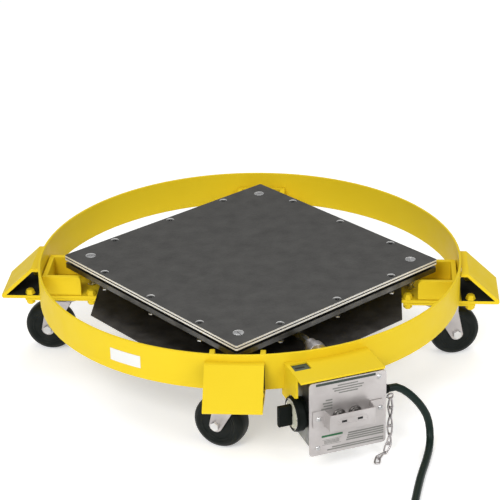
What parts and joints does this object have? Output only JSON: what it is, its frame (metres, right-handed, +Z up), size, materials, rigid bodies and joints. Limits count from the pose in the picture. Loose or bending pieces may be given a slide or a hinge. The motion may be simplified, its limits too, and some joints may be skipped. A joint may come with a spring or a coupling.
{
  "type": "drum dolly",
  "caption": "Round drum dolly: steel band on swivel casters with a sprung square heater plate, a control box with thermostat and reset buttons, a mains lead and a grounding chain.",
  "frame": {"origin": "on the floor, on the axis of the round band", "axes": "+Z up; the first outrigger points along -Y; the control box faces 66 degrees clockwise from +X, seen from above"},
  "size_m": [0.74, 1.0092, 0.1611],
  "materials": {
    "yellow_paint": "safety-yellow powder coat, slightly orange in shade",
    "zinc_plated": "zinc-plated pressed steel",
    "bright_steel": "bright plated fasteners and springs",
    "wheel_polymer": "black moulded wheel",
    "heater_plate": "dark grey plate with bright cut edges",
    "clamp_plate": "bright plate",
    "heating_mat": "dark heating mat",
    "insulation": "dark insulation board",
    "galvanised": "galvanised sheet",
    "shield_steel": "dark heat shield sheet",
    "panel_aluminium": "light brushed aluminium",
    "chrome": "bright ring",
    "black_plastic": "black moulded plastic",
    "black_rubber": "black rubber jacket"
  },
  "bodies": {
    "chassis": {"ring_band": "yellow_paint", "outrigger_front": "yellow_paint", "outrigger_right": "yellow_paint", "outrigger_back": "yellow_paint", "outrigger_left": "yellow_paint", "support_lug_front": "yellow_paint", "support_lug_right": "yellow_paint", "support_lug_back": "yellow_paint", "support_lug_left": "yellow_paint", "caster_plate_front": "yellow_paint", "caster_plate_right": "yellow_paint", "caster_plate_back": "yellow_paint", "caster_plate_left": "yellow_paint", "control_bracket": "yellow_paint", "conduit_connector": "zinc_plated", "chain_eye": "zinc_plated", "ground_chain": "zinc_plated", "heater_spring_front": "bright_steel", "heater_spring_right": "bright_steel", "heater_spring_back": "bright_steel", "heater_spring_left": "bright_steel", "terminal_box": "galvanised", "conduit": "galvanised", "control_enclosure": "galvanised", "heat_shield": "shield_steel", "control_panel": "panel_aluminium", "button_guard": "panel_aluminium", "breaker_left": "chrome", "breaker_right": "chrome", "thermostat_bezel": "black_plastic", "thermostat_body": "black_plastic", "cable_gland": "black_plastic", "power_cord": "black_rubber", "cord_coil": "black_rubber", "cord_plug": "black_rubber"},
    "caster_front": {"caster_fork_front": "zinc_plated", "caster_axle_front": "bright_steel"},
    "wheel_front": {"caster_wheel_front": "wheel_polymer"},
    "caster_right": {"caster_fork_right": "zinc_plated", "caster_axle_right": "bright_steel"},
    "wheel_right": {"caster_wheel_right": "wheel_polymer"},
    "caster_back": {"caster_fork_back": "zinc_plated", "caster_axle_back": "bright_steel"},
    "wheel_back": {"caster_wheel_back": "wheel_polymer"},
    "caster_left": {"caster_fork_left": "zinc_plated", "caster_axle_left": "bright_steel"},
    "wheel_left": {"caster_wheel_left": "wheel_polymer"},
    "heater": {"heater_plate": "heater_plate", "heating_mat": "heating_mat", "clamp_plate": "clamp_plate", "insulation_board": "insulation", "heater_pan": "galvanised", "heater_post_front": "bright_steel", "heater_post_right": "bright_steel", "heater_post_back": "bright_steel", "heater_post_left": "bright_steel"},
    "thermostat_control": {"thermostat_dial": "chrome", "thermostat_knob": "black_plastic"},
    "reset_button_left": {"breaker_button_left": "black_plastic"},
    "reset_button_right": {"breaker_button_right": "black_plastic"}
  },
  "joints": [
    {"name": "swivel_front", "type": "hinge", "parent": "chassis", "child": "caster_front", "pos_m": [0, -0.2817, 0.0925], "axis": [0, 0, 1], "continuous": true},
    {"name": "roll_front", "type": "hinge", "parent": "caster_front", "child": "wheel_front", "pos_m": [-0.02299, -0.27241, 0.0381], "axis": [-0.3746, -0.9272, 0], "continuous": true},
    {"name": "swivel_right", "type": "hinge", "parent": "chassis", "child": "caster_right", "pos_m": [0.2817, 0, 0.0925], "axis": [0, 0, 1], "continuous": true},
    {"name": "roll_right", "type": "hinge", "parent": "caster_right", "child": "wheel_right", "pos_m": [0.30569, 0.00629, 0.0381], "axis": [-0.2538, 0.9673, 0], "continuous": true},
    {"name": "swivel_back", "type": "hinge", "parent": "chassis", "child": "caster_back", "pos_m": [0, 0.2817, 0.0925], "axis": [0, 0, 1], "continuous": true},
    {"name": "roll_back", "type": "hinge", "parent": "caster_back", "child": "wheel_back", "pos_m": [0.01422, 0.26138, 0.0381], "axis": [0.8192, 0.5736, 0], "continuous": true},
    {"name": "swivel_left", "type": "hinge", "parent": "chassis", "child": "caster_left", "pos_m": [-0.2817, 0, 0.0925], "axis": [0, 0, 1], "continuous": true},
    {"name": "roll_left", "type": "hinge", "parent": "caster_left", "child": "wheel_left", "pos_m": [-0.30629, 0.00319, 0.0381], "axis": [-0.1288, -0.9917, 0], "continuous": true},
    {"name": "heater_float", "type": "slide", "parent": "chassis", "child": "heater", "axis": [0, 0, 1], "range_m": [-0.005, 0], "stiffness_N_per_m": 16000, "springref_m": 0.008, "deforming": ["heater_spring_front", "heater_spring_right", "heater_spring_back", "heater_spring_left"]},
    {"name": "thermostat_turn", "type": "hinge", "parent": "chassis", "child": "thermostat_control", "pos_m": [0.08043, -0.33801, 0.0875], "axis": [-0.9135, -0.4067, 0], "range_deg": [-150, 150]},
    {"name": "reset_press_left", "type": "slide", "parent": "chassis", "child": "reset_button_left", "axis": [0.4067, -0.9135, 0], "range_m": [-0.0025, 0], "stiffness_N_per_m": 500, "springref_m": 0.002},
    {"name": "reset_press_right", "type": "slide", "parent": "chassis", "child": "reset_button_right", "axis": [0.4067, -0.9135, 0], "range_m": [-0.0025, 0], "stiffness_N_per_m": 500, "springref_m": 0.002}
  ]
}
